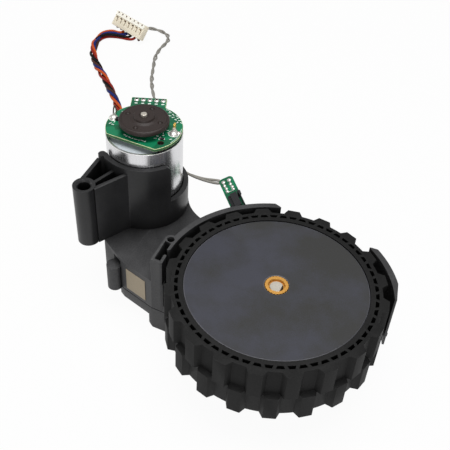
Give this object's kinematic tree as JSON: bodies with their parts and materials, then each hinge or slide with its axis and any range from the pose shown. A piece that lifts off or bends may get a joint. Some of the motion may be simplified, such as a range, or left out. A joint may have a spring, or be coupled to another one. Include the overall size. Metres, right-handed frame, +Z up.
{
  "type": "robot vacuum wheel module",
  "caption": "Swing-arm drive wheel module of a robot vacuum: lugged rubber wheel, gearbox arm, round motor with encoder, wheel-drop switch and wires.",
  "frame": {"origin": "on the axis of the suspension bore, at the tube's lower face", "axes": "+X from the suspension bore towards the wheel's axle, +Z up along the bore and the axle"},
  "size_m": [0.1807, 0.1932, 0.0579],
  "materials": {
    "housing_plastic": "fine moulded grain",
    "bracket_plastic": "fine moulded grain",
    "cap_plastic": "fine even grain",
    "rim_plastic": "moulded",
    "tyre_rubber": "moulded rubber",
    "brass": "turned",
    "steel": "ground",
    "can_steel": "bright drawn can",
    "zinc": "plated",
    "magnet": "sintered",
    "copper": "bare copper",
    "gear_plastic": "moulded acetal",
    "board_green": "solder mask",
    "solder": "soldered",
    "dark_brown_plastic": "moulded magnet ring",
    "black_plastic": "moulded",
    "patch_tan": "blank tan film",
    "wire_jacket": "five coloured jackets",
    "pair_jacket": "grey twisted pair",
    "connector_ivory": "ivory nylon"
  },
  "bodies": {
    "gearbox": {"upper_housing": "housing_plastic", "lower_cover": "housing_plastic", "swing_bracket": "bracket_plastic", "cover_screws": "steel", "motor_screws": "steel", "motor_can": "can_steel", "motor_magnets": "magnet", "motor_end_plate": "zinc", "brush_card": "black_plastic", "board_spacer": "black_plastic", "encoder_board": "board_green", "motor_terminals": "solder", "gear_pins": "steel", "axle_bearings": "steel", "switch_board": "board_green", "switch_body": "black_plastic", "tan_patch": "patch_tan", "wire_bundle": "wire_jacket", "sensor_lead": "pair_jacket", "connector_housing": "connector_ivory", "connector_contacts": "brass"},
    "wheel": {"tyre": "tyre_rubber", "wheel_rim": "rim_plastic", "wheel_cap": "cap_plastic", "hub_insert": "brass", "output_shaft": "steel", "output_gear": "gear_plastic"},
    "third_idler": {"third_gear": "gear_plastic"},
    "second_idler": {"second_gear": "gear_plastic"},
    "first_idler": {"first_gear": "gear_plastic"},
    "rotor": {"motor_shaft": "steel", "armature": "can_steel", "commutator": "copper", "motor_pinion": "brass", "encoder_disc": "dark_brown_plastic"},
    "drop_lever": {"switch_lever": "black_plastic"}
  },
  "joints": [
    {"name": "wheel_spin", "type": "hinge", "parent": "gearbox", "child": "wheel", "pos_m": [0.0643, 0, 0], "axis": [0, 0, 1], "continuous": true},
    {"name": "third_spin", "type": "hinge", "parent": "gearbox", "child": "third_idler", "pos_m": [0.04897, 0.01018, 0], "axis": [0, 0, 1], "continuous": true},
    {"name": "second_spin", "type": "hinge", "parent": "gearbox", "child": "second_idler", "pos_m": [0.03232, 0.00798, 0], "axis": [0, 0, 1], "continuous": true},
    {"name": "first_spin", "type": "hinge", "parent": "gearbox", "child": "first_idler", "pos_m": [0.01603, 0.01208, 0], "axis": [0, 0, 1], "continuous": true},
    {"name": "rotor_spin", "type": "hinge", "parent": "gearbox", "child": "rotor", "pos_m": [0.00745, 0.02438, 0], "axis": [0, 0, 1], "continuous": true},
    {"name": "lever_press", "type": "hinge", "parent": "gearbox", "child": "drop_lever", "pos_m": [0.03675, 0.03596, 0.00606], "axis": [0.2542, 0.2289, -0.9397], "range_deg": [0, 4], "stiffness_Nm_per_rad": 0.0005}
  ],
  "couplings": [
    {"joint": "first_spin", "follows": "rotor_spin", "ratio": -0.25},
    {"joint": "second_spin", "follows": "rotor_spin", "ratio": 0.083333},
    {"joint": "third_spin", "follows": "rotor_spin", "ratio": -0.027778},
    {"joint": "wheel_spin", "follows": "rotor_spin", "ratio": 0.0098039}
  ]
}
